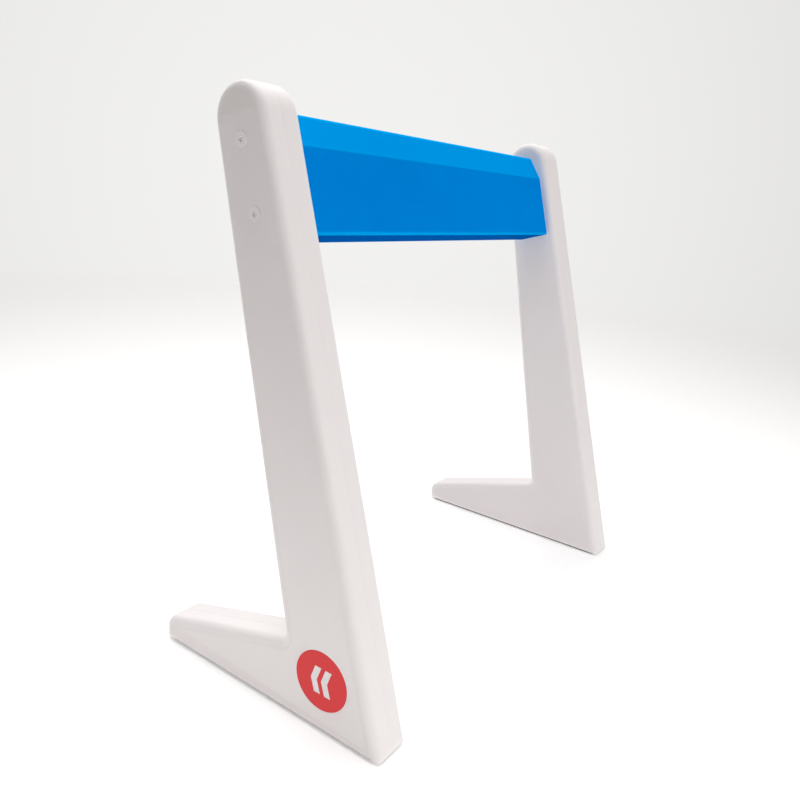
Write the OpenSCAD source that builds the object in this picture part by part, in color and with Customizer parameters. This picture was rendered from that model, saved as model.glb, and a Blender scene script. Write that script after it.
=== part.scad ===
// Low agility hurdle: two leaning L-shaped stands joined by one crossbar near their tops.
// X runs along the crossbar, +Y points to the toes of the stands and +Z is up.
// The origin is on the floor, at the middle of the whole hurdle.

/* [Overall] */
// Width over the outer faces of the two stands
width = 457; // [440:1:480]
// Height of the top of the stands above the floor
height = 450; // [440:1:465]
// Length of a stand on the floor, from the sharp heel corner to the toe
foot_length = 234; // [222:1:245]

/* [Stand] */
// Thickness of a stand
stand_t = 35.5; // [34:0.5:38]
// Lean of the front edge back from the vertical, in degrees
front_lean = 16.7; // [16.2:0.1:17.2]
// Lean of the upright's rear edge back from the vertical, in degrees
rear_lean = 12.7; // [12.3:0.1:13.1]
// Radius of the rounded top
top_r = 23.2; // [22:0.1:24]
// Height of the foot's top face at the toe
toe_h = 21; // [18:0.5:23]
// Slope of the foot's top face, in degrees
foot_slope = 16.5; // [15.5:0.1:17.5]
// Rounding of the stand's edges where the flat sides end
edge_r = 6.5; // [6:0.5:8.5]
// Rounding of the bottom edges
bottom_edge_r = 5; // [3:0.5:5.5]
// Wall thickness of the moulded shells
wall = 3; // [2.5:0.25:3.5]

/* [Crossbar] */
// Distance of the bar's front face behind the stand's front edge
bar_front_inset = 8.8; // [8:0.1:10]
// Distance of the bar's rear face in front of the stand's rear edge
bar_rear_inset = 8.8; // [8:0.1:10]
// Height of the bar's lower front corner
bar_low_z = 355.8; // [350:0.2:360]
// Height at which the bar's front face turns into its bevel
bevel_z = 414; // [410:0.5:416]
// Height of the bar's top
bar_top_z = 436; // [434:0.2:437]
// Wall thickness of the bar
bar_wall = 2.6; // [2.2:0.1:3]
// Length of the plug in each end of the bar
plug_l = 34; // [30:1:45]

/* [Bar fixings] */
// Distance of the upper screw below the centre of the rounded top
upper_screw_s = 14.2; // [13:0.1:16]
// Distance between the two screws, along the lean of the front edge
screw_pitch = 48; // [44:0.5:50]
// Diameter of the visible cover caps
cap_d = 11.5; // [11.5:0.1:12.5]
// Diameter of the screws
screw_d = 5; // [4.5:0.5:5]

/* [Badge and sole] */
// Diameter of the round badge
badge_d = 48.2; // [44:0.2:50]
// Height of the badge's centre
badge_z = 44.7; // [42:0.1:46]
// Distance of the badge's centre behind the heel corner
badge_y = 56.5; // [54:0.5:60]
// How far the rubber sole stands below the shells
sole_drop = 1.2; // [1:0.1:2]
// Depth of the groove that holds the sole
sole_groove = 1.6; // [1.2:0.1:2]
// Distance of the sole inside the stand's sides
sole_inset = 3.2; // [3:0.2:5]

/* [Hidden] */
$fn = 48;

white = "whitesmoke";
blue = "dodgerblue";
red = "indianred";
rubber = "dimgray";
plug_grey = "gray";
steel = "silver";
brass = "goldenrod";

half_t = stand_t / 2;
// Play between a pushed-in piece and its seat, how far a cutter runs past a face,
// and how far a rib, pin or backing runs into the wall that it stands on.
eps = 0.05;
past = 1;
root = 0.5;

// --- Outline of a stand, in the plane of its side: first number back from the heel, second up.
// Each corner is [place, radius, steps of its arc], and they run anticlockwise.
tan_front = tan(front_lean);
tan_rear = tan(rear_lean);
top_c = [tan_front * (height - top_r) + top_r / cos(front_lean), height - top_r];
rear_foot = top_c[0] + top_r / cos(rear_lean) - tan_rear * top_c[1];
apex_z = rear_foot / (tan_front - tan_rear);
knee_z = (toe_h + tan(foot_slope) * (foot_length - rear_foot)) / (1 + tan(foot_slope) * tan_rear);
heel_r = 1.5;
toe_top_r = 12;
toe_low_r = 4;
knee_r = 5;

outline = [
    [[tan_front * sole_drop, sole_drop], heel_r, 7],
    [[foot_length, sole_drop], toe_low_r, 4],
    [[foot_length, toe_h], toe_top_r, 7],
    [[rear_foot + tan_rear * knee_z, knee_z], knee_r, 4],
    [[tan_front * apex_z, apex_z], top_r, 28],
];
// The first edge, from the heel to the toe, is the one on the floor.
edges = len(outline);

function unit(v) = v / norm(v);
function left_of(v) = [-v[1], v[0]];
function turn_of(u, v) = u[0] * v[1] - u[1] * v[0];

// How far each edge moves in: one distance for the floor edge and one for the others.
function insets(floor_d, side_d) = [for (i = [0:edges - 1]) i == 0 ? floor_d : side_d];

// Corner i after every edge has moved in by its own distance.
function moved(c, d, i) =
    let (
        n = len(c),
        here = c[i][0],
        u = unit(here - c[(i + n - 1) % n][0]),
        v = unit(c[(i + 1) % n][0] - here),
        p = here + left_of(u) * d[(i + n - 1) % n],
        q = here + left_of(v) * d[i]
    )
    p + u * turn_of(q - p, v) / turn_of(u, v);

// Whether corner i bulges outwards.
function bulges(c, i) =
    let (n = len(c), here = c[i][0])
    turn_of(here - c[(i + n - 1) % n][0], c[(i + 1) % n][0] - here) > 0;

// Arc of radius r that rounds corner b between its neighbours a and c.
function corner_arc(a, b, c, r, steps) =
    let (
        u = unit(a - b),
        v = unit(c - b),
        half = acos(u * v) / 2,
        centre = b + unit(u + v) * r / sin(half),
        first = b + u * r / tan(half) - centre,
        start = atan2(first[1], first[0]),
        sweep = (turn_of(b - a, c - b) > 0 ? 1 : -1) * (180 - 2 * half)
    )
    [for (k = [0:steps]) centre + r * [cos(start + sweep * k / steps), sin(start + sweep * k / steps)]];

// The whole rounded outline, with each edge i moved in by d[i].
function rounded(c, d) =
    let (n = len(c), m = [for (i = [0:n - 1]) moved(c, d, i)])
    [for (i = [0:n - 1])
        let (
            shift = max(d[i], d[(i + n - 1) % n]),
            r = bulges(c, i) ? max(c[i][1] - shift, 0.4) : c[i][1] + shift
        )
        each corner_arc(m[(i + n - 1) % n], m[i], m[(i + 1) % n], r, c[i][2])];

// Inset of an edge of radius r at depth h below the flat side.
function round_inset(h, r) = h >= r ? 0 : r - sqrt(r * r - (r - h) * (r - h));

// --- Section of the crossbar, in the same plane.
axis_lean = (front_lean + rear_lean) / 2;
axis_dir = [sin(axis_lean), cos(axis_lean)];
bar_front = bar_front_inset / cos(front_lean);
bar_rear = rear_foot - bar_rear_inset / cos(rear_lean);
bar_low = [bar_front + tan_front * bar_low_z, bar_low_z];
bar_low_rear_z = (bar_low_z + tan_front * (bar_low[0] - bar_rear)) / (1 + tan_front * tan_rear);
bevel_low = [bar_front + tan_front * bevel_z, bevel_z];
bevel_top_w = 6.8;
bevel_top_drop = 1.2;
function across_axis(p) =
    let (rel = p - top_c, along = rel * axis_dir)
    top_c + 2 * along * axis_dir - rel;
bevel_top = [
    top_c[0] + tan(axis_lean) * (bar_top_z - top_c[1]) - bevel_top_w,
    bar_top_z - bevel_top_drop,
];
bar_outline = [
    [bar_low, 2, 4],
    [[bar_rear + tan_rear * bar_low_rear_z, bar_low_rear_z], 4.5, 5],
    [across_axis(bevel_low), 4, 4],
    [across_axis(bevel_top), 4, 4],
    [bevel_top, 4, 4],
    [bevel_low, 2, 4],
];
function bar_insets(d) = [for (c = bar_outline) d];
bar_l = width - 2 * stand_t;

// --- Places along the upright's middle line, measured down from the centre of the rounded top.
function on_axis(s) = top_c - s * axis_dir;
upper_screw = on_axis(upper_screw_s);
screw_places = [upper_screw, upper_screw - screw_pitch * [sin(front_lean), cos(front_lean)]];
pin_places = [[204, 14], [150, 22], [34, 24], on_axis(345), on_axis(245), on_axis(130)];
rib_places = [95, 165, 215, 280];
foot_rib_places = [112, 136, 176];

// Middle of the outline from the front of the heel to the toe, which is where y is 0.
heel_half = (90 - front_lean) / 2;
heel_c = tan_front * sole_drop + heel_r / tan(heel_half);
mid_y = (heel_c - heel_r + foot_length) / 2;

// Stand pieces are drawn flat, with the outer side at height 0, and then stood up.
module on_left() {
    translate([-width / 2, -mid_y, 0])
        rotate([90, 0, 90])
            children();
}

module on_right() {
    mirror([1, 0, 0])
        on_left()
            children();
}

// Solid of the stand's outline from height 0 to depth, with its edge rounded at height 0.
// The floor edge has its own inset and radius, because the sole's groove needs a thicker wall.
module rounded_plate(floor_inset, inset, low_r, r, depth) {
    steps = 6;
    levels = concat([for (k = [0:steps]) r * (1 - cos(90 * k / steps))], [depth]);
    rings = [for (h = levels)
        [for (p = rounded(outline, insets(floor_inset + round_inset(h, low_r), inset + round_inset(h, r))))
            [p[0], p[1], h]]];
    n = len(rings[0]);
    last = len(levels) - 1;
    points = [for (ring = rings) each ring];
    // Both end faces start at the heel, from where the whole outline is in sight.
    sides = [for (k = [0:last - 1], i = [0:n - 1])
        let (j = (i + 1) % n, a = k * n, b = (k + 1) * n)
        each [[a + i, b + j, a + j], [a + i, b + i, b + j]]];
    polyhedron(
        points = points,
        faces = concat([[for (i = [0:n - 1]) i]], sides, [[for (i = [n:-1:1]) last * n + i % n]])
    );
}

// Flat slab inside the stand's walls, between two heights. Its inset is from the outer surface.
module slab(inset, from, to) {
    translate([0, 0, from])
        linear_extrude(to - from)
            polygon(rounded(outline, insets(inset + sole_groove, inset)));
}

module at_screws() {
    for (p = screw_places)
        translate([p[0], p[1], 0])
            children();
}

module at_pins() {
    for (p = pin_places)
        translate([p[0], p[1], 0])
            children();
}

// Cross ribs of the upright and the foot, kept inside the shell's walls.
rib_t = 2;
rib_reach = 45;
foot_rib_h = 65;
module ribs(from, to) {
    translate([0, 0, from])
        linear_extrude(to - from)
            intersection() {
                polygon(rounded(outline, insets(wall + sole_groove - root, wall - root)));
                union() {
                    for (s = rib_places)
                        translate(on_axis(s))
                            rotate(-axis_lean)
                                translate([-rib_reach, -rib_t / 2])
                                    square([2 * rib_reach, rib_t]);
                    for (y = foot_rib_places)
                        translate([y - rib_t / 2, 0])
                            square([rib_t, foot_rib_h]);
                }
            }
}

// Groove for the sole, as long and wide as the sole itself.
sole_w = stand_t - 2 * sole_inset;
sole_from = tan_front * sole_drop + 4;
sole_to = foot_length - 5;
sole_corner_r = 6;
module sole_plan(grow) {
    r = sole_corner_r;
    w = sole_w + 2 * grow;
    l = sole_to - sole_from + 2 * grow;
    translate([sole_from - grow, half_t - w / 2]) {
        translate([r, 0])
            square([l - 2 * r, w]);
        translate([0, r])
            square([l, w - 2 * r]);
        for (x = [r, l - r], y = [r, w - r])
            translate([x, y])
                circle(r);
    }
}

// The plan lies in the floor's plane: its second axis is the stand's thickness.
module sole_block(grow, from, to) {
    mirror([0, 0, 1])
        rotate([-90, 0, 0])
            translate([0, 0, from])
                linear_extrude(to - from)
                    sole_plan(grow);
}

// --- Bar fixing stack, measured from the outer side of the stand.
well_d = 11;
well_wall = 2;
seat_t = 3;
well_end = stand_t - wall;
seat = well_end - seat_t;
hole_d = screw_d + 0.5;
washer_t = 1;
washer_d = well_d - 0.4;
head_h = 4;
head_d = 9;
insert_l = 10;
insert_d = 7;
screw_tip = 1;
screw_l = seat_t + wall + washer_t + insert_l + screw_tip;
cap_rim_t = 1.2;
cap_proud = 0.4;
cap_stem_l = 5;
cap_stem_wall = 1.2;

// --- Locating pins between the two shells of a stand.
pin_d = 5;
pin_l = 6;
socket_wall = 2;
tongue_h = 2;
tongue_gap = 0.1;
tongue_t = 1.2;
inner_low_r = 1;

module half_solid() {
    rounded_plate(0, 0, bottom_edge_r, edge_r, half_t);
}

module half_cavity() {
    translate([0, 0, wall])
        rounded_plate(wall + sole_groove, wall, inner_low_r, edge_r - wall, half_t - wall + past);
}

module from_inner_side() {
    translate([0, 0, stand_t])
        mirror([0, 0, 1])
            children();
}

module outer_shell() {
    color(white)
        difference() {
            union() {
                difference() {
                    half_solid();
                    half_cavity();
                    slab(wall - tongue_t - tongue_gap, half_t - tongue_h - tongue_gap, half_t + past);
                }
                intersection() {
                    slab(wall - root, wall - root, half_t - tongue_h - root);
                    union() {
                        ribs(wall - root, half_t - tongue_h - root);
                        at_pins()
                            cylinder(d = pin_d + 2 * socket_wall, h = half_t);
                    }
                }
                at_screws()
                    cylinder(d = well_d + 2 * well_wall, h = well_end);
                thicken_under_badge();
            }
            at_screws() {
                translate([0, 0, -past])
                    cylinder(d = well_d, h = seat + past);
                translate([0, 0, -past])
                    cylinder(d = cap_d + 2 * eps, h = cap_rim_t - cap_proud + past);
                cylinder(d = hole_d, h = stand_t);
            }
            at_pins()
                translate([0, 0, half_t - pin_l - root])
                    cylinder(d = pin_d + 2 * eps, h = pin_l + root + past);
            translate([badge_y, badge_z, -past])
                cylinder(d = badge_d + 4 * eps, h = past + badge_seat, $fn = badge_steps);
            sole_block(2 * eps, 0, sole_drop + sole_groove);
        }
}

// Backing that keeps the wall's thickness behind the badge's recess.
badge_t = 0.8;
badge_seat = 0.6;
badge_steps = 96;
module thicken_under_badge() {
    translate([badge_y, badge_z, wall - root])
        cylinder(d = badge_d + wall, h = root + badge_seat, $fn = badge_steps);
}

module inner_shell() {
    color(white)
        difference() {
            union() {
                difference() {
                    from_inner_side()
                        half_solid();
                    from_inner_side()
                        half_cavity();
                }
                difference() {
                    slab(wall - tongue_t, half_t - tongue_h, half_t + wall);
                    slab(wall, half_t - tongue_h - past, half_t + wall + past);
                }
                intersection() {
                    slab(wall - root, half_t - tongue_h, stand_t - wall + root);
                    ribs(half_t + past, stand_t - wall + root);
                }
                at_pins()
                    translate([0, 0, half_t - pin_l]) {
                        cylinder(d = pin_d, h = pin_l + past);
                        translate([0, 0, pin_l])
                            cylinder(d = pin_d + 2 * socket_wall, h = half_t - wall + root);
                    }
            }
            at_screws() {
                translate([0, 0, half_t - tongue_h - past])
                    cylinder(d = well_d + 2 * well_wall + 4 * eps, h = well_end - half_t + tongue_h + past);
                cylinder(d = hole_d, h = stand_t + past);
            }
            sole_block(2 * eps, 0, sole_drop + sole_groove);
        }
}

// Ribbed rubber strip under the whole foot.
tread_pitch = 14;
tread_w = 1.2;
tread_d = 0.7;
module sole() {
    color(rubber)
        difference() {
            sole_block(0, 0, sole_drop + sole_groove - eps);
            for (y = [sole_from + tread_pitch:tread_pitch:sole_to - tread_pitch / 2])
                translate([y - tread_w / 2, -past, half_t - sole_w / 2 - past])
                    cube([tread_w, tread_d + past, sole_w + 2 * past]);
        }
}

module badge() {
    color(red)
        translate([badge_y, badge_z, badge_seat - badge_t])
            cylinder(d = badge_d, h = badge_t, $fn = badge_steps);
}

module screw_caps() {
    dimple_d = 3.4;
    dimple_h = 0.9;
    color(white)
        at_screws()
            translate([0, 0, -cap_proud])
                difference() {
                    union() {
                        cylinder(d = cap_d, h = cap_rim_t);
                        cylinder(d = well_d - eps, h = cap_rim_t + cap_stem_l);
                    }
                    translate([0, 0, cap_rim_t])
                        cylinder(d = well_d - 2 * cap_stem_wall, h = cap_stem_l + past);
                    translate([0, 0, -past])
                        cylinder(d = dimple_d, h = past + dimple_h);
                }
}

module bar_screws() {
    socket_af = 3;
    socket_h = 2.4;
    color(steel)
        at_screws()
            translate([0, 0, seat - washer_t - head_h])
                difference() {
                    union() {
                        cylinder(d = head_d, h = head_h);
                        cylinder(d = screw_d, h = head_h + screw_l - screw_tip);
                        translate([0, 0, head_h + screw_l - screw_tip])
                            cylinder(d1 = screw_d, d2 = screw_d - 2 * screw_tip, h = screw_tip);
                    }
                    translate([0, 0, -past])
                        cylinder(d = socket_af / cos(30), h = past + socket_h, $fn = 6);
                }
}

module washers() {
    color(steel)
        at_screws()
            translate([0, 0, seat - washer_t])
                difference() {
                    cylinder(d = washer_d, h = washer_t);
                    translate([0, 0, -past])
                        cylinder(d = hole_d - 4 * eps, h = washer_t + 2 * past);
                }
}

// Plug in the end of the bar: an end plate, a skirt against the bar's walls and two bosses.
plate_t = 4;
skirt_t = 2.4;
plug_gap = 0.1;
boss_d = insert_d + 6;
web_low = 90;
web_high = 5;
module plug_slab(inset, from, to) {
    translate([0, 0, stand_t + from])
        linear_extrude(to - from)
            polygon(rounded(bar_outline, bar_insets(bar_wall + plug_gap + inset)));
}

module bar_plug() {
    boss_l = 20;
    color(plug_grey)
        difference() {
            union() {
                difference() {
                    plug_slab(0, 0, plug_l);
                    plug_slab(skirt_t, plate_t, plug_l + past);
                }
                at_screws()
                    translate([0, 0, stand_t])
                        cylinder(d = boss_d, h = boss_l);
                intersection() {
                    plug_slab(root, 0, boss_l);
                    translate([top_c[0], top_c[1], stand_t])
                        rotate([0, 0, -axis_lean])
                            translate([-rib_t / 2, -web_low, 0])
                                cube([rib_t, web_low + web_high, boss_l]);
                }
            }
            at_screws()
                translate([0, 0, stand_t - past]) {
                    cylinder(d = insert_d, h = insert_l + past);
                    cylinder(d = hole_d, h = screw_l);
                }
        }
}

// Threaded inserts in the plug's bosses, each with two knurled bands and a groove between.
module inserts() {
    groove_l = 1.6;
    groove_d = 0.4;
    color(brass)
        at_screws()
            translate([0, 0, stand_t])
                difference() {
                    cylinder(d = insert_d - eps, h = insert_l);
                    translate([0, 0, -past])
                        cylinder(d = screw_d + eps, h = insert_l + 2 * past);
                    translate([0, 0, (insert_l - groove_l) / 2])
                        difference() {
                            cylinder(d = insert_d + past, h = groove_l);
                            translate([0, 0, -past])
                                cylinder(d = insert_d - 2 * groove_d, h = groove_l + 2 * past);
                        }
                }
}

module bar() {
    color(blue)
        translate([-bar_l / 2, -mid_y, 0])
            rotate([90, 0, 90])
                linear_extrude(bar_l)
                    difference() {
                        polygon(rounded(bar_outline, bar_insets(0)));
                        polygon(rounded(bar_outline, bar_insets(bar_wall)));
                    }
}

on_left() outer_shell();  // left_outer_shell
on_left() inner_shell();  // left_inner_shell
on_left() sole();  // left_sole
on_left() badge();  // left_badge
on_left() screw_caps();  // left_screw_caps
on_left() bar_screws();  // left_bar_screws
on_left() washers();  // left_washers
on_left() bar_plug();  // left_bar_plug
on_left() inserts();  // left_inserts
bar();  // crossbar
on_right() outer_shell();  // right_outer_shell
on_right() inner_shell();  // right_inner_shell
on_right() sole();  // right_sole
on_right() badge();  // right_badge
on_right() screw_caps();  // right_screw_caps
on_right() bar_screws();  // right_bar_screws
on_right() washers();  // right_washers
on_right() bar_plug();  // right_bar_plug
on_right() inserts();  // right_inserts
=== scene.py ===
"""Looks of the low agility hurdle: two white stands, a blue crossbar, caps, badges and rubber soles."""
import math

import bmesh
import bpy
from mathutils import Matrix, Vector


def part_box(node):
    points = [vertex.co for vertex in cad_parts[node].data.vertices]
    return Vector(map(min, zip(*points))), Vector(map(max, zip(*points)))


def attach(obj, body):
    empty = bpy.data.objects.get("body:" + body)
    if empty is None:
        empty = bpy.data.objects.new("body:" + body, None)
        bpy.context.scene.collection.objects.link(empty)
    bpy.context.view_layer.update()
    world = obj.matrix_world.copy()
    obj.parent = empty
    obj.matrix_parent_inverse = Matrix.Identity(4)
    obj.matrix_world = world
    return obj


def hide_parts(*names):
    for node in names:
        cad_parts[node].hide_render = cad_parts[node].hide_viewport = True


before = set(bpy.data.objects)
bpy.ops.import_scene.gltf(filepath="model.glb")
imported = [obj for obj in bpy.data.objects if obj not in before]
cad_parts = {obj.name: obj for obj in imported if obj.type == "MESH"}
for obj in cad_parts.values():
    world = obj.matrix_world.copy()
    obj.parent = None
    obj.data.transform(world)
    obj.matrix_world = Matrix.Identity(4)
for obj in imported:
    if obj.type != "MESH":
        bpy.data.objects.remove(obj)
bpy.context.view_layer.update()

MM = 0.001
SIDES = {"left": -1, "right": 1}
BODY = "root"

# ---------------------------------------------------------------- driving dimensions, in mm and degrees
# Outline of a stand: leans of the upright's edges, roundings of the corners and the foot's shape.
FRONT_LEAN = 16.7
REAR_LEAN = 12.7
TOP_R = 23.2
TOE_H = 21.0
FOOT_SLOPE = 16.5
HEEL_R = 1.5
TOE_LOW_R = 4.0
TOE_TOP_R = 12.0
KNEE_R = 5.0
# Rounding from the outline into the flat sides, the shells' wall and the line where they meet.
EDGE_R = 6.5
BOTTOM_EDGE_R = 5.0
WALL = 3.0
INNER_LOW_R = 1.0
PARTING_W = 0.1
# Sole and its groove.
SOLE_GROOVE = 1.6
SOLE_R = 6.0
SOLE_EDGE = 0.4
SOLE_PLAY = 0.1
TREAD_PITCH = 14.0
TREAD_W = 1.2
TREAD_D = 0.7
# Crossbar: place in the stand's outline, bevel, wall and rounded ends.
BAR_INSET = 8.8
BAR_LOW_Z = 355.8
BEVEL_Z = 414.0
BEVEL_TOP_DROP = 1.2
BEVEL_TOP_W = 6.8
BAR_TOP_Z = 436.0
BAR_FRONT_R = 2.0
BAR_REAR_R = 4.5
BAR_TOP_R = 4.0
BAR_WALL = 2.6
BAR_END_R = 1.0
BAR_LIP = 0.3
# Screw wells, cover caps and badge seat, with their play and the badge's rounded edge.
WELL_D = 11.0
WELL_WALL = 2.0
SEAT_T = 3.0
HOLE_D = 5.5
CAP_D = 11.5
CAP_RIM_T = 1.2
CAP_EDGE_R = 0.55
CAP_STEM_L = 5.0
CAP_STEM_WALL = 1.2
CAP_PLAY = 0.06
CAP_SHRINK = 0.02
BADGE_PLAY = 0.1
BADGE_EDGE_R = 0.5
BADGE_EDGE_H = 0.25
# Width and depth of the small chamfers round the cap wells and the badge seats.
WELL_CHAMFER = (0.24, 0.22)
BADGE_CHAMFER = (0.18, 0.2)
# Chevron mark on the badge.
CHEVRON_H = 22.0
CHEVRON_W = 5.8
CHEVRON_RUN = 9.5
CHEVRON_GAP = 9.8
MARK_T = 0.08
MARK_SOFT_EDGE = 0.06
# Fineness of the roundings, and the strip next to each rounded edge over which its edge colour dies out:
# wear on the white parts, a painted highlight on the bar.
ARC_STEP = 4.0
EDGE_STEPS = 14
SOLE_STEPS = 12
SMALLEST_R = 0.3
FLAT_MARGIN = 1.2
# How far a cutter runs past a face, and the height of a sharp step in a turned profile.
PAST = 1.0
STEP = 0.001


def tan(degrees):
    return math.tan(math.radians(degrees))


def cos(degrees):
    return math.cos(math.radians(degrees))


def sin(degrees):
    return math.sin(math.radians(degrees))


# ---------------------------------------------------------------- places taken from the frame, in mm
shell_low, shell_high = (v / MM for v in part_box("left_outer_shell"))
inner_low, inner_high = (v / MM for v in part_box("left_inner_shell"))
HALF_WIDTH = -shell_low.x
STAND_T = inner_high.x - shell_low.x
HALF_T = STAND_T / 2
HEIGHT = shell_high.z
FLOOR_GAP = shell_low.z
heel_centre = tan(FRONT_LEAN) * FLOOR_GAP + HEEL_R / tan((90 - FRONT_LEAN) / 2)
FOOT_LENGTH = shell_high.y - shell_low.y + heel_centre - HEEL_R
MID_Y = FOOT_LENGTH - shell_high.y

# ---------------------------------------------------------------- outline of a stand, seen from its side
tan_front, tan_rear = tan(FRONT_LEAN), tan(REAR_LEAN)
TOP_C = Vector((tan_front * (HEIGHT - TOP_R) + TOP_R / cos(FRONT_LEAN), HEIGHT - TOP_R))
REAR_FOOT = TOP_C.x + TOP_R / cos(REAR_LEAN) - tan_rear * TOP_C.y
APEX_Z = REAR_FOOT / (tan_front - tan_rear)
KNEE_Z = (TOE_H + tan(FOOT_SLOPE) * (FOOT_LENGTH - REAR_FOOT)) / (1 + tan(FOOT_SLOPE) * tan_rear)
OUTLINE = [
    (Vector((tan_front * FLOOR_GAP, FLOOR_GAP)), HEEL_R),
    (Vector((FOOT_LENGTH, FLOOR_GAP)), TOE_LOW_R),
    (Vector((FOOT_LENGTH, TOE_H)), TOE_TOP_R),
    (Vector((REAR_FOOT + tan_rear * KNEE_Z, KNEE_Z)), KNEE_R),
    (Vector((tan_front * APEX_Z, APEX_Z)), TOP_R),
]

AXIS_LEAN = (FRONT_LEAN + REAR_LEAN) / 2
AXIS = Vector((sin(AXIS_LEAN), cos(AXIS_LEAN)))


def across_axis(p):
    """The mirror image of p across the upright's middle line."""
    rel = p - TOP_C
    return TOP_C + 2 * rel.dot(AXIS) * AXIS - rel


bar_front = BAR_INSET / cos(FRONT_LEAN)
bar_rear = REAR_FOOT - BAR_INSET / cos(REAR_LEAN)
bar_low = Vector((bar_front + tan_front * BAR_LOW_Z, BAR_LOW_Z))
bar_rear_z = (BAR_LOW_Z + tan_front * (bar_low.x - bar_rear)) / (1 + tan_front * tan_rear)
bevel_low = Vector((bar_front + tan_front * BEVEL_Z, BEVEL_Z))
top_axis_x = TOP_C.x + tan(AXIS_LEAN) * (BAR_TOP_Z - TOP_C.y)
bevel_top = Vector((top_axis_x - BEVEL_TOP_W, BAR_TOP_Z - BEVEL_TOP_DROP))
BAR_OUTLINE = [
    (bar_low, BAR_FRONT_R),
    (Vector((bar_rear + tan_rear * bar_rear_z, bar_rear_z)), BAR_REAR_R),
    (across_axis(bevel_low), BAR_TOP_R),
    (across_axis(bevel_top), BAR_TOP_R),
    (bevel_top, BAR_TOP_R),
    (bevel_low, BAR_FRONT_R),
]


def turn_of(u, v):
    return u.x * v.y - u.y * v.x


def moved_corners(corners, insets):
    """The corners after each edge i, from corner i to the next, has moved in by insets[i]."""
    n = len(corners)
    out = []
    for i in range(n):
        here = corners[i][0]
        u = (here - corners[i - 1][0]).normalized()
        v = (corners[(i + 1) % n][0] - here).normalized()
        p = here + Vector((-u.y, u.x)) * insets[i - 1]
        q = here + Vector((-v.y, v.x)) * insets[i]
        out.append(p + u * turn_of(q - p, v) / turn_of(u, v))
    return out


def corner_arc(a, b, c, r, steps):
    """Points of the arc of radius r that rounds corner b between its neighbours a and c."""
    u, v = (a - b).normalized(), (c - b).normalized()
    half = math.acos(max(-1.0, min(1.0, u.dot(v)))) / 2
    centre = b + (u + v).normalized() * r / math.sin(half)
    first = b + u * r / math.tan(half) - centre
    start = math.atan2(first.y, first.x)
    sweep = math.copysign(math.pi - 2 * half, turn_of(b - a, c - b))
    angles = (start + sweep * k / steps for k in range(steps + 1))
    return [centre + r * Vector((math.cos(t), math.sin(t))) for t in angles]


def rounded(corners, insets):
    """The rounded outline as a list of points, with edge i moved in by insets[i]."""
    n = len(corners)
    moved = moved_corners(corners, insets)
    arcs = []
    for i in range(n):
        before, here, after = (corners[(i + k - 1) % n][0] for k in range(3))
        bulges = turn_of(here - before, after - here) > 0
        shift = max(insets[i], insets[i - 1])
        r = max(corners[i][1] - shift, SMALLEST_R) if bulges else corners[i][1] + shift
        angle = math.degrees((here - before).angle(after - here))
        steps = max(4, math.ceil(angle / ARC_STEP))
        arcs.append(corner_arc(moved[i - 1], moved[i], moved[(i + 1) % n], r, steps))
    out = []
    for arc, following in zip(arcs, arcs[1:] + arcs[:1]):
        step = (following[0] - arc[-1]).normalized() * FLAT_MARGIN
        out += arc + [arc[-1] + step, following[0] - step]
    return out


def round_inset(h, r):
    return 0.0 if h >= r else r - math.sqrt(r * r - (r - h) ** 2)


def stand_ring(floor_inset, side_inset):
    return rounded(OUTLINE, [floor_inset] + [side_inset] * (len(OUTLINE) - 1))


def bar_ring(inset):
    return rounded(BAR_OUTLINE, [inset] * len(BAR_OUTLINE))


# ---------------------------------------------------------------- mesh helpers
def place(side, depth, point):
    """A stand's point: depth in from its outer side, then the outline's two numbers. Returns metres."""
    return Vector((SIDES[side] * (HALF_WIDTH - depth), point[0] - MID_Y, point[1])) * MM


def new_object(name, bm):
    mesh = bpy.data.meshes.new(name)
    bmesh.ops.recalc_face_normals(bm, faces=bm.faces)
    bm.to_mesh(mesh)
    bm.free()
    obj = bpy.data.objects.new(name, mesh)
    bpy.context.scene.collection.objects.link(obj)
    return obj


def join_rows(bm, rows, closed=False):
    """Faces between rows of equal length: capped at both ends, or joined end to end."""
    n = len(rows[0])
    pairs = list(zip(rows, rows[1:])) + ([(rows[-1], rows[0])] if closed else [])
    for a, b in pairs:
        for i in range(n):
            j = (i + 1) % n
            bm.faces.new((a[i], a[j], b[j], b[i]))
    if not closed:
        bm.faces.new(rows[0])
        bm.faces.new(reversed(rows[-1]))


def loft(name, rings, closed=False):
    """A closed solid through rings of points."""
    bm = bmesh.new()
    join_rows(bm, [[bm.verts.new(p) for p in ring] for ring in rings], closed)
    return new_object(name, bm)


def lathe(name, side, centre, profile, steps=64):
    """A turned solid on a stand's side, from (depth, radius) pairs, with a flat face at each end."""
    turns = [360 * k / steps for k in range(steps)]
    rings = []
    for depth, radius in profile:
        points = [(centre.x + radius * cos(t), centre.y + radius * sin(t)) for t in turns]
        rings.append([place(side, depth, p) for p in points])
    return loft(name, rings)


def boolean(obj, cutter, operation="DIFFERENCE"):
    """Applies cutter to obj and removes it."""
    mod = obj.modifiers.new("cut", "BOOLEAN")
    mod.operation = operation
    mod.solver = "EXACT"
    mod.object = cutter
    graph = bpy.context.evaluated_depsgraph_get()
    mesh = bpy.data.meshes.new_from_object(obj.evaluated_get(graph))
    obj.modifiers.clear()
    old = obj.data
    obj.data = mesh
    bpy.data.meshes.remove(old)
    cutter_mesh = cutter.data
    bpy.data.objects.remove(cutter)
    bpy.data.meshes.remove(cutter_mesh)


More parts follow.
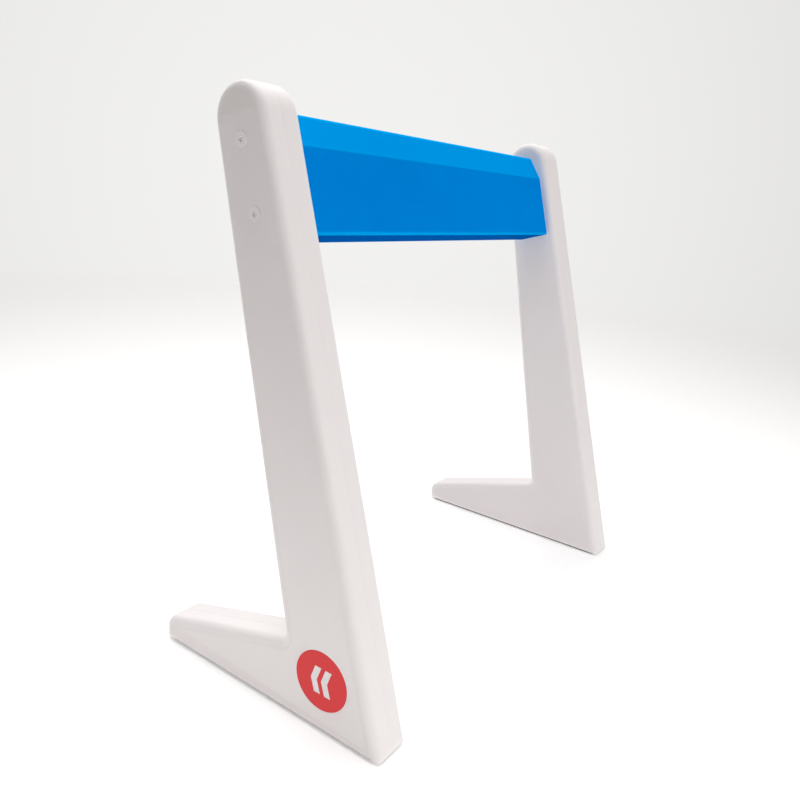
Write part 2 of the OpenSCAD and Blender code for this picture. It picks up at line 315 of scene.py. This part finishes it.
def finish_mesh(obj, sharp=32.0):
    """Smooth shading that keeps flat faces flat: sharp edges by angle, normals weighted by area."""
    mesh = obj.data
    bm = bmesh.new()
    bm.from_mesh(mesh)
    bmesh.ops.remove_doubles(bm, verts=bm.verts, dist=1e-7)
    bmesh.ops.dissolve_degenerate(bm, edges=bm.edges, dist=1e-7)
    bm.to_mesh(mesh)
    bm.free()
    mesh.shade_smooth()
    mesh.set_sharp_from_angle(angle=math.radians(sharp))
    weighted = obj.modifiers.new("weighted", "WEIGHTED_NORMAL")
    weighted.keep_sharp = True
    weighted.weight = 100


def add_piece(obj, material, slot, *nodes):
    obj.data.materials.clear()
    obj.data.materials.append(material)
    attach(obj, BODY)
    if nodes:
        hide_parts(*nodes)


# ---------------------------------------------------------------- materials
def node_tree(name):
    material = bpy.data.materials.new(name)
    material.use_nodes = True
    tree = material.node_tree
    return material, tree, tree.nodes["Principled BSDF"]


def add(tree, kind, **settings):
    node = tree.nodes.new(kind)
    for key, value in settings.items():
        if key in node.inputs:
            node.inputs[key].default_value = value
        else:
            setattr(node, key, value)
    return node


def noise(tree, scale, detail=3.0, roughness=0.5, stretch=(1, 1, 1)):
    """Noise in the object's own metres, so its scale is in features for each metre."""
    coords = add(tree, "ShaderNodeTexCoord")
    mapping = add(tree, "ShaderNodeMapping")
    mapping.inputs["Scale"].default_value = stretch
    tex = add(tree, "ShaderNodeTexNoise", Scale=scale, Detail=detail, Roughness=roughness)
    tree.links.new(coords.outputs["Object"], mapping.inputs["Vector"])
    tree.links.new(mapping.outputs["Vector"], tex.inputs["Vector"])
    return tex.outputs["Fac"]


def ramp(tree, source, low, high, out_low, out_high):
    node = add(tree, "ShaderNodeMapRange")
    for key, value in zip(("From Min", "From Max", "To Min", "To Max"), (low, high, out_low, out_high)):
        node.inputs[key].default_value = value
    tree.links.new(source, node.inputs["Value"])
    return node.outputs["Result"]


def mix(tree, factor, a, b):
    node = add(tree, "ShaderNodeMix", data_type="RGBA")
    tree.links.new(factor, node.inputs["Factor"])
    for socket, value in ((node.inputs[6], a), (node.inputs[7], b)):
        if isinstance(value, tuple):
            socket.default_value = (*value, 1.0)
        else:
            tree.links.new(value, socket)
    return node.outputs[2]


def bump(tree, layers, shader):
    """Chained bump layers, each (height, strength, distance in metres)."""
    normal = None
    for height, strength, distance in layers:
        node = add(tree, "ShaderNodeBump", Strength=strength, Distance=distance)
        tree.links.new(height, node.inputs["Height"])
        if normal is not None:
            tree.links.new(normal, node.inputs["Normal"])
        normal = node.outputs["Normal"]
    tree.links.new(normal, shader.inputs["Normal"])


# Pointiness where a mask starts and where it is full: above 0.5 is convex, below is hollow.
EDGE_POINTINESS = (0.5015, 0.508)
RECESS_SHADE_POINTINESS = (0.485, 0.43)


def pointiness_mask(tree, limits):
    geometry = add(tree, "ShaderNodeNewGeometry")
    return ramp(tree, geometry.outputs["Pointiness"], *limits, 0.0, 1.0)


def edge_mask(tree):
    """1 along convex edges, fading out over the strip beside them."""
    return pointiness_mask(tree, EDGE_POINTINESS)


def recess_shade_mask(tree):
    """1 in the bottom of small recesses, where shade is painted, 0 elsewhere."""
    return pointiness_mask(tree, RECESS_SHADE_POINTINESS)


def moulded_white(name, dark, light):
    """Satin white moulding: fine spark-eroded grain, a faint flow mottle, slightly polished edges and
    painted shade in small recesses.
    """
    material, tree, shader = node_tree(name)
    mottle = ramp(tree, noise(tree, 9, 3), 0.35, 0.65, 0.0, 1.0)
    body = mix(tree, mottle, dark, light)
    scuff = ramp(tree, noise(tree, 70, 6, 0.65), 0.62, 0.80, 0.0, 0.35)
    body = mix(tree, scuff, body, (0.82, 0.765, 0.76))
    body = mix(tree, edge_mask(tree), body, (0.905, 0.858, 0.852))
    # Painted shade: darker grey in the bottom of small recesses, such as the caps' dimples and the
    # grooves.
    painted_recess_shade = ramp(tree, recess_shade_mask(tree), 0.0, 1.0, 0.0, 0.8)
    body = mix(tree, painted_recess_shade, body, (0.40, 0.37, 0.365))
    tree.links.new(body, shader.inputs["Base Color"])
    gloss = ramp(tree, noise(tree, 45, 4), 0.3, 0.7, 0.42, 0.52)
    tree.links.new(gloss, shader.inputs["Roughness"])
    shader.inputs["Specular IOR Level"].default_value = 0.4
    bump(tree, [
        (noise(tree, 14, 2), 0.5, 0.00025),
        (noise(tree, 2600, 2), 0.22, 0.00006),
    ], shader)
    return material


def bar_blue(name):
    """Satin blue extrusion: fine drawing lines along the bar, with painted light on top and on the edges
    and painted shade underneath.
    """
    material, tree, shader = node_tree(name)
    lines = noise(tree, 900, 2, 0.5, stretch=(0.006, 1, 1))
    cloud = ramp(tree, noise(tree, 7, 3), 0.35, 0.65, 0.0, 1.0)
    body = mix(tree, cloud, (0.0, 0.205, 0.745), (0.0, 0.230, 0.795))
    # Painted light and shade by which way a face points: lighter blue on faces turned up, far deeper
    # blue on faces turned down.
    geometry = add(tree, "ShaderNodeNewGeometry")
    facing = add(tree, "ShaderNodeSeparateXYZ")
    tree.links.new(geometry.outputs["Normal"], facing.inputs["Vector"])
    painted_top_light = ramp(tree, facing.outputs["Z"], 0.40, 0.70, 0.0, 1.0)
    body = mix(tree, painted_top_light, body, (0.0, 0.405, 0.95))
    painted_underside_shade = ramp(tree, facing.outputs["Z"], -0.1, -0.6, 0.0, 1.0)
    body = mix(tree, painted_underside_shade, body, (0.0, 0.0, 0.20))
    streak = ramp(tree, lines, 0.45, 0.80, 0.0, 0.10)
    body = mix(tree, streak, body, (0.0, 0.30, 0.86))
    # Painted highlight: lighter blue along the convex edges, standing in for the light that the bar's
    # rounded rims catch.
    painted_edge_highlight = ramp(tree, edge_mask(tree), 0.0, 1.0, 0.0, 0.8)
    body = mix(tree, painted_edge_highlight, body, (0.0, 0.42, 0.94))
    tree.links.new(body, shader.inputs["Base Color"])
    gloss = ramp(tree, lines, 0.3, 0.7, 0.38, 0.46)
    tree.links.new(gloss, shader.inputs["Roughness"])
    shader.inputs["Metallic"].default_value = 0.06
    shader.inputs["Specular IOR Level"].default_value = 0.0
    shader.inputs["Specular Tint"].default_value = (0.0, 0.40, 1.0, 1.0)
    bump(tree, [(lines, 0.12, 0.00005), (noise(tree, 1800, 2), 0.12, 0.00004)], shader)
    return material


def badge_red(name):
    """Smooth red printed disc with a fine ink mottle."""
    material, tree, shader = node_tree(name)
    ink = ramp(tree, noise(tree, 260, 5, 0.6), 0.3, 0.7, 0.0, 1.0)
    body = mix(tree, ink, (0.60, 0.008, 0.013), (0.66, 0.014, 0.020))
    body = mix(tree, edge_mask(tree), body, (0.82, 0.06, 0.065))
    tree.links.new(body, shader.inputs["Base Color"])
    tree.links.new(ramp(tree, ink, 0, 1, 0.38, 0.46), shader.inputs["Roughness"])
    shader.inputs["Specular IOR Level"].default_value = 0.1
    bump(tree, [(noise(tree, 1500, 2), 0.1, 0.00003)], shader)
    return material


def print_white(name):
    """White ink of the badge's mark."""
    material, tree, shader = node_tree(name)
    ink = ramp(tree, noise(tree, 400, 4, 0.6), 0.3, 0.7, 0.0, 1.0)
    body = mix(tree, ink, (0.82, 0.78, 0.78), (0.90, 0.87, 0.87))
    tree.links.new(body, shader.inputs["Base Color"])
    tree.links.new(ramp(tree, ink, 0, 1, 0.34, 0.42), shader.inputs["Roughness"])
    bump(tree, [(noise(tree, 1500, 2), 0.1, 0.00003)], shader)
    return material


def sole_rubber(name):
    """Matt grey rubber with a fine grain and dusty high spots."""
    material, tree, shader = node_tree(name)
    dust = ramp(tree, noise(tree, 120, 6, 0.7), 0.45, 0.75, 0.0, 1.0)
    body = mix(tree, dust, (0.29, 0.285, 0.285), (0.36, 0.355, 0.352))
    tree.links.new(body, shader.inputs["Base Color"])
    tree.links.new(ramp(tree, dust, 0, 1, 0.72, 0.9), shader.inputs["Roughness"])
    shader.inputs["Specular IOR Level"].default_value = 0.25
    bump(tree, [(noise(tree, 1400, 3), 0.35, 0.0001)], shader)
    return material


def plug_grey(name):
    """Dark grey moulded plastic of the plugs inside the bar."""
    material, tree, shader = node_tree(name)
    cloud = ramp(tree, noise(tree, 60, 4), 0.3, 0.7, 0.0, 1.0)
    body = mix(tree, cloud, (0.185, 0.186, 0.19), (0.22, 0.221, 0.225))
    tree.links.new(body, shader.inputs["Base Color"])
    tree.links.new(ramp(tree, cloud, 0, 1, 0.5, 0.6), shader.inputs["Roughness"])
    bump(tree, [(noise(tree, 2200, 2), 0.2, 0.00006)], shader)
    return material


def metal(name, dark, light, rough, scale):
    """Plated or turned metal with fine cloudy tarnish and light tool marks."""
    material, tree, shader = node_tree(name)
    cloud = ramp(tree, noise(tree, scale, 5, 0.6), 0.3, 0.7, 0.0, 1.0)
    tree.links.new(mix(tree, cloud, dark, light), shader.inputs["Base Color"])
    shader.inputs["Metallic"].default_value = 1.0
    tree.links.new(ramp(tree, cloud, 0, 1, rough, rough + 0.12), shader.inputs["Roughness"])
    bump(tree, [(noise(tree, 3000, 2, 0.5, stretch=(1, 0.1, 0.1)), 0.15, 0.00003)], shader)
    return material


WHITE = moulded_white("stand_white", (0.864, 0.804, 0.802), (0.890, 0.830, 0.828))
CAP_WHITE = moulded_white("cap_white", (0.955, 0.920, 0.915), (0.975, 0.940, 0.935))
BLUE = bar_blue("bar_blue")
RED = badge_red("badge_red")
MARK = print_white("mark_white")
RUBBER = sole_rubber("sole_rubber")
PLUG = plug_grey("plug_grey")
ZINC = metal("zinc_steel", (0.52, 0.52, 0.53), (0.66, 0.66, 0.68), 0.28, 300)
BRASS = metal("insert_brass", (0.62, 0.44, 0.18), (0.78, 0.60, 0.30), 0.25, 250)


# ---------------------------------------------------------------- the stands
edge_depths = [EDGE_R * (1 - math.cos(math.pi / 2 * k / EDGE_STEPS)) for k in range(EDGE_STEPS + 1)]


def shell_levels():
    """(depth, floor inset, side inset) of a half shell: along its skin, then back inside its wall."""
    inner_r = EDGE_R - WALL
    levels = [(0, BOTTOM_EDGE_R + FLAT_MARGIN, EDGE_R + FLAT_MARGIN)]
    levels += [(h, round_inset(h, BOTTOM_EDGE_R), round_inset(h, EDGE_R)) for h in edge_depths]
    levels += [(edge_depths[-1] + FLAT_MARGIN, 0, 0)]
    levels += [(HALF_T - PARTING_W, 0, 0), (HALF_T, PARTING_W, PARTING_W)]
    floor_wall = WALL + SOLE_GROOVE
    levels += [(HALF_T, floor_wall, WALL), (WALL + inner_r, floor_wall, WALL)]
    for k in range(1, 6):
        h = inner_r * (1 - math.sin(math.pi / 2 * k / 5))
        extra = round_inset(h, inner_r)
        levels.append((WALL + h, floor_wall + min(extra, INNER_LOW_R), WALL + extra))
    return levels


def half_shell(name, side, inner):
    rings = []
    for depth, floor_inset, side_inset in shell_levels():
        at = STAND_T - depth if inner else depth
        rings.append([place(side, at, p) for p in stand_ring(floor_inset, side_inset)])
    return loft(name, rings)


cap_low, cap_high = (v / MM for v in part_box("left_screw_caps"))
CAP_R = CAP_D / 2
CAP_PROUD = -HALF_WIDTH - cap_low.x
SCREWS = [
    Vector((cap_high.y - CAP_R + MID_Y, cap_high.z - CAP_R)),
    Vector((cap_low.y + CAP_R + MID_Y, cap_low.z + CAP_R)),
]
badge_low, badge_high = (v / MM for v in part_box("left_badge"))
BADGE_R = (badge_high.z - badge_low.z) / 2
BADGE_C = Vector(((badge_low.y + badge_high.y) / 2 + MID_Y, (badge_low.z + badge_high.z) / 2))
BADGE_PROUD = -HALF_WIDTH - badge_low.x
BADGE_SEAT = badge_high.x + HALF_WIDTH


def recess(radius, depth, chamfer):
    """Profile of a chamfered round recess, up to its bottom."""
    width, drop = chamfer
    return [(-PAST, radius + width), (0, radius + width), (drop, radius), (depth, radius)]


def cut_sole_groove(obj, side):
    boolean(obj, sole_solid("cutter", side, SOLE_PLAY, -PAST, FLOOR_GAP + SOLE_GROOVE))


def outer_shell(side):
    obj = half_shell(side + "_stand_outer", side, inner=False)
    well_end = STAND_T - WALL
    seat = well_end - SEAT_T
    tube_r = WELL_D / 2 + WELL_WALL
    counterbore = CAP_RIM_T - CAP_PROUD
    well = recess(CAP_R + CAP_PLAY, counterbore, WELL_CHAMFER)
    well += [(counterbore + STEP, WELL_D / 2), (seat, WELL_D / 2)]
    well += [(seat + STEP, HOLE_D / 2), (STAND_T, HOLE_D / 2)]
    tube = [(WALL - 0.5, tube_r), (well_end - 0.02, tube_r)]
    for centre in SCREWS:
        boolean(obj, lathe("tube", side, centre, tube), "UNION")
        boolean(obj, lathe("cutter", side, centre, well))
    seat_cut = recess(BADGE_R + BADGE_PLAY, BADGE_SEAT, BADGE_CHAMFER)
    boolean(obj, lathe("cutter", side, BADGE_C, seat_cut, 128))
    cut_sole_groove(obj, side)
    finish_mesh(obj)
    add_piece(obj, WHITE, "stand_white", side + "_outer_shell")


def inner_shell(side):
    obj = half_shell(side + "_stand_inner", side, inner=True)
    hole = [(HALF_T, HOLE_D / 2), (STAND_T + PAST, HOLE_D / 2)]
    for centre in SCREWS:
        boolean(obj, lathe("cutter", side, centre, hole))
    cut_sole_groove(obj, side)
    finish_mesh(obj)
    add_piece(obj, WHITE, "stand_white", side + "_inner_shell")


# ---------------------------------------------------------------- soles
sole_low, sole_high = (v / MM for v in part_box("left_sole"))


def sole_ring(side, z, grow):
    """The sole's rounded plan at height z."""
    r = SOLE_R + grow
    x0, x1 = sole_low.x - grow + r, sole_high.x + grow - r
    y0, y1 = sole_low.y - grow + r, sole_high.y + grow - r
    out = []
    for cx, cy, start in ((x1, y1, 0), (x0, y1, 90), (x0, y0, 180), (x1, y0, 270)):
        for k in range(SOLE_STEPS + 1):
            a = start + 90 * k / SOLE_STEPS
            out.append(Vector((-SIDES[side] * (cx + r * cos(a)), cy + r * sin(a), z)) * MM)
    return out


def sole_solid(name, side, grow, low, high, edge=0.0):
    """The sole's plan between two heights, with a small chamfer of size edge along its lower rim."""
    levels = [(low, grow - edge), (low + edge, grow)] if edge else [(low, grow)]
    return loft(name, [sole_ring(side, z, g) for z, g in levels + [(high, grow)]])


def tread_groove(side, y):
    """Cutter for one straight groove across the sole's underside."""
    x0, x1 = sorted(-SIDES[side] * x for x in (sole_low.x - PAST, sole_high.x + PAST))
    y0, y1 = y - TREAD_W / 2, y + TREAD_W / 2
    corners = ((x0, y0), (x1, y0), (x1, y1), (x0, y1))
    return loft("cutter", [[Vector((cx, cy, z)) * MM for cx, cy in corners] for z in (-PAST, TREAD_D)])


def sole(side):
    obj = sole_solid(side + "_foot_sole", side, 0.0, 0.0, sole_high.z, SOLE_EDGE)
    y = sole_low.y + TREAD_PITCH
    while y < sole_high.y - TREAD_PITCH / 2:
        boolean(obj, tread_groove(side, y))
        y += TREAD_PITCH
    finish_mesh(obj)
    add_piece(obj, RUBBER, "sole_rubber", side + "_sole")


# ---------------------------------------------------------------- caps and badges
def cap_profile():
    """(depth, radius) of a cover cap: a dimple, a slightly crowned face, a rounded rim and a stem."""
    face = -CAP_PROUD
    rim = CAP_R - CAP_SHRINK
    edge = face + 0.05
    points = [(face + 0.95, 0.3), (face + 0.95, 1.2), (face + 0.85, 1.5), (face + 0.25, 1.6)]
    points += [(face + 0.03, 1.8), (face, 2.3), (face + 0.015, 3.6), (edge, rim - CAP_EDGE_R)]
    for k in range(1, 7):
        a = 90 * k / 6
        points.append((edge + 0.45 * (1 - cos(a)), rim - CAP_EDGE_R * (1 - sin(a))))
    stem = WELL_D / 2 - CAP_SHRINK
    back = face + CAP_RIM_T
    points += [(back, rim), (back + STEP, stem), (back + CAP_STEM_L, stem)]
    points += [(back + CAP_STEM_L + STEP, stem - CAP_STEM_WALL)]
    points += [(back + 0.2, stem - CAP_STEM_WALL - 0.1), (back + 0.2 - STEP, 0.05)]
    return points


def caps(side):
    parts = [lathe(side + "_cap", side, c, cap_profile()) for c in SCREWS]
    obj = parts[0]
    bm = bmesh.new()
    for part in parts:
        bm.from_mesh(part.data)
    for part in parts[1:]:
        bpy.data.objects.remove(part)
    bm.to_mesh(obj.data)
    bm.free()
    obj.name = side + "_cover_caps"
    finish_mesh(obj, 40)
    add_piece(obj, CAP_WHITE, "cap_white", side + "_screw_caps")


def badge(side):
    face = -BADGE_PROUD
    profile = [(face, BADGE_R - BADGE_EDGE_R)]
    for k in range(1, 7):
        a = 90 * k / 6
        profile.append((face + BADGE_EDGE_H * (1 - cos(a)), BADGE_R - BADGE_EDGE_R * (1 - sin(a))))
    profile.append((BADGE_SEAT, BADGE_R))
    obj = lathe(side + "_badge_disc", side, BADGE_C, profile, 160)
    finish_mesh(obj)
    add_piece(obj, RED, "badge_red", side + "_badge")


def badge_mark(side):
    """A plain mark of two slanting chevrons, in place of lettering."""
    face = -BADGE_PROUD
    half_h, half_run = CHEVRON_H / 2, CHEVRON_RUN / 2
    chevron = [
        (-half_run, -half_h), (CHEVRON_W - half_run, -half_h), (half_run, 0),
        (CHEVRON_W - half_run, half_h), (-half_run, half_h), (half_run - CHEVRON_W, 0),
    ]
    levels = [(face + 0.01, 0), (face - MARK_T * 0.7, 0), (face - MARK_T, MARK_SOFT_EDGE)]
    bm = bmesh.new()
    for middle in (-CHEVRON_GAP / 2, CHEVRON_GAP / 2):
        rows = []
        for depth, shrink in levels:
            points = [(BADGE_C.x + middle + y * (1 - shrink / 5), BADGE_C.y + z * (1 - shrink / 10))
                      for y, z in chevron]
            rows.append([bm.verts.new(place(side, depth, p)) for p in points])
        join_rows(bm, rows)
    obj = new_object(side + "_badge_mark", bm)
    finish_mesh(obj)
    add_piece(obj, MARK, "cap_white")


# ---------------------------------------------------------------- crossbar
def crossbar():
    low, high = (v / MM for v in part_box("crossbar"))
    # (distance in from the end, inset) round the outer lip, then along the flat.
    lip = []
    for k in range(6):
        a = 90 * k / 5
        lip.append((BAR_END_R * (1 - cos(a)), BAR_END_R * (1 - sin(a))))
    lip.append((BAR_END_R + FLAT_MARGIN, 0))
    path = [(low.x, BAR_WALL - BAR_LIP)]
    path += [(low.x + d, inset) for d, inset in lip]
    path += [(high.x - d, inset) for d, inset in reversed(lip)]
    path += [(high.x, BAR_WALL - BAR_LIP), (high.x - BAR_LIP, BAR_WALL), (low.x + BAR_LIP, BAR_WALL)]
    rings = [[Vector((x, p.x - MID_Y, p.y)) * MM for p in bar_ring(inset)] for x, inset in path]
    obj = loft("bar_tube", rings, closed=True)
    finish_mesh(obj)
    add_piece(obj, BLUE, "bar_blue", "crossbar")


for side_name in SIDES:
    outer_shell(side_name)
    inner_shell(side_name)
    sole(side_name)
    caps(side_name)
    badge(side_name)
    badge_mark(side_name)
crossbar()

# Hidden fixings stay as the frame has them, each with its own material.
HIDDEN = {"bar_plug": PLUG, "bar_screws": ZINC, "washers": ZINC, "inserts": BRASS}
for side_name in SIDES:
    for part_name, part_material in HIDDEN.items():
        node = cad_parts[side_name + "_" + part_name]
        for slot in node.material_slots:
            slot.material = part_material

# ---------------------------------------------------------------- floor, light and camera
# Distances from the hurdle, in metres, between which the floor's glow and the floor itself fade out.
FLOOR_GLOW_R = (0.2, 4.0)
FLOOR_FADE_R = (0.9, 2.5)
FLOOR_GLOW = 0.23
# Room light, what the backdrop adds to it, and how far the backdrop is turned from the camera's heading.
ROOM_LIGHT = 0.26
BACKDROP_LIGHT = 0.63
BACKDROP_TURN = 6.0
# Soft boxes aimed at the hurdle: name, azimuth from +X, elevation, size in metres, power in watts.
LIGHT_AIM = Vector((0, 0, 0.15))
LIGHT_DISTANCE = 1.7
LIGHTS = [
    ("top_light", 0, 90, (0.9, 0.9), 9.6),
    ("rear_top_light", 90, 66, (0.7, 0.7), 6.6),
    ("front_low_light", 265, 8, (0.6, 0.3), 5.6),
    ("front_right_light", 290, 8, (0.6, 0.3), 1.3),
]
# Camera: heading from +Y towards +X, tilt and roll in degrees, place in metres, lens in mm and shift.
HEADING, TILT, ROLL = 55.88, -16.89, 4.76
CAMERA_AT = Vector((-0.5735, -0.3441, 0.3901))
LENS = 32.54
SHIFT_Y = 0.0125


def stage_floor():
    """A large pale floor that stays flat round the hurdle and fades into the backdrop far away."""
    material, tree, shader = node_tree("floor_pale")
    tone = ramp(tree, noise(tree, 3, 3), 0.3, 0.7, 0.0, 1.0)
    body = mix(tree, tone, (0.906, 0.902, 0.900), (0.914, 0.910, 0.908))
    tree.links.new(body, shader.inputs["Base Color"])
    shader.inputs["Roughness"].default_value = 0.9
    shader.inputs["Specular IOR Level"].default_value = 0.1
    shader.inputs["Emission Color"].default_value = (1.0, 0.997, 0.995, 1.0)
    coords = add(tree, "ShaderNodeTexCoord")
    away = add(tree, "ShaderNodeVectorMath", operation="LENGTH")
    tree.links.new(coords.outputs["Object"], away.inputs[0])
    glow = ramp(tree, away.outputs["Value"], *FLOOR_GLOW_R, FLOOR_GLOW, 0.0)
    tree.links.new(glow, shader.inputs["Emission Strength"])
    fade = ramp(tree, away.outputs["Value"], *FLOOR_FADE_R, 0.0, 1.0)
    clear = add(tree, "ShaderNodeBsdfTransparent")
    blend = add(tree, "ShaderNodeMixShader")
    tree.links.new(fade, blend.inputs["Fac"])
    tree.links.new(shader.outputs["BSDF"], blend.inputs[1])
    tree.links.new(clear.outputs["BSDF"], blend.inputs[2])
    tree.links.new(blend.outputs["Shader"], tree.nodes["Material Output"].inputs["Surface"])
    bm = bmesh.new()
    bmesh.ops.create_circle(bm, cap_ends=True, segments=96, radius=FLOOR_FADE_R[1] + 0.2)
    floor = new_object("floor", bm)
    if floor.data.polygons[0].normal.z < 0:
        floor.data.flip_normals()
    floor.data.materials.append(material)


def world_light():
    """Even grey room light that grows towards the backdrop behind the hurdle."""
    world = bpy.data.worlds.new("studio")
    bpy.context.scene.world = world
    world.use_nodes = True
    tree = world.node_tree
    background = tree.nodes["Background"]
    background.inputs["Color"].default_value = (1.0, 0.994, 0.983, 1.0)
    coords = add(tree, "ShaderNodeTexCoord")
    towards = add(tree, "ShaderNodeVectorMath", operation="DOT_PRODUCT")
    turned = HEADING - BACKDROP_TURN
    towards.inputs[1].default_value = (sin(turned), cos(turned), 0.0)
    tree.links.new(coords.outputs["Generated"], towards.inputs[0])
    level = ramp(tree, towards.outputs["Value"], 0.0, 1.0, ROOM_LIGHT, ROOM_LIGHT + BACKDROP_LIGHT)
    tree.links.new(level, background.inputs["Strength"])


def area_light(name, location, target, size, power, colour=(1, 1, 1)):
    light = bpy.data.lights.new(name, "AREA")
    light.shape = "RECTANGLE"
    light.size, light.size_y = size
    light.energy = power
    light.color = colour
    obj = bpy.data.objects.new(name, light)
    bpy.context.scene.collection.objects.link(obj)
    obj.location = location
    obj.rotation_mode = "QUATERNION"
    obj.rotation_quaternion = (Vector(target) - Vector(location)).to_track_quat("-Z", "Y")
    obj.visible_camera = False
    return obj


def camera():
    """Camera at the viewing angle, with its own roll."""
    forward = Vector((sin(HEADING) * cos(TILT), cos(HEADING) * cos(TILT), sin(TILT)))
    right = forward.cross(Vector((0, 0, 1))).normalized()
    up = right.cross(forward)
    r = cos(ROLL) * right + sin(ROLL) * up
    u = -sin(ROLL) * right + cos(ROLL) * up
    data = bpy.data.cameras.new("camera")
    data.sensor_width = 36.0
    data.lens = LENS
    data.shift_y = SHIFT_Y
    data.clip_start, data.clip_end = 0.01, 60.0
    obj = bpy.data.objects.new("camera", data)
    bpy.context.scene.collection.objects.link(obj)
    obj.matrix_world = Matrix((
        (r.x, u.x, -forward.x, CAMERA_AT.x),
        (r.y, u.y, -forward.y, CAMERA_AT.y),
        (r.z, u.z, -forward.z, CAMERA_AT.z),
        (0, 0, 0, 1),
    ))
    bpy.context.scene.camera = obj


stage_floor()
world_light()
for light_name, azimuth, elevation, size, power in LIGHTS:
    a, e = math.radians(azimuth), math.radians(elevation)
    away = Vector((math.cos(a) * math.cos(e), math.sin(a) * math.cos(e), math.sin(e)))
    area_light(light_name, LIGHT_AIM + LIGHT_DISTANCE * away, LIGHT_AIM, size, power)
# One light for the floor and air behind the hurdle, and a narrow one on the floor at its left.
area_light("backdrop_light", (1.8, 1.3, 1.8), (1.8, 1.3, 0), (2.4, 2.4), 19.5, (1.0, 0.965, 0.94))
floor_light = area_light("floor_light", (-0.5, -0.1, 1.2), (-0.5, -0.1, 0), (0.4, 0.6), 0.5)
floor_light.data.spread = math.radians(30)
camera()
bpy.context.scene.view_settings.view_transform = "Standard"
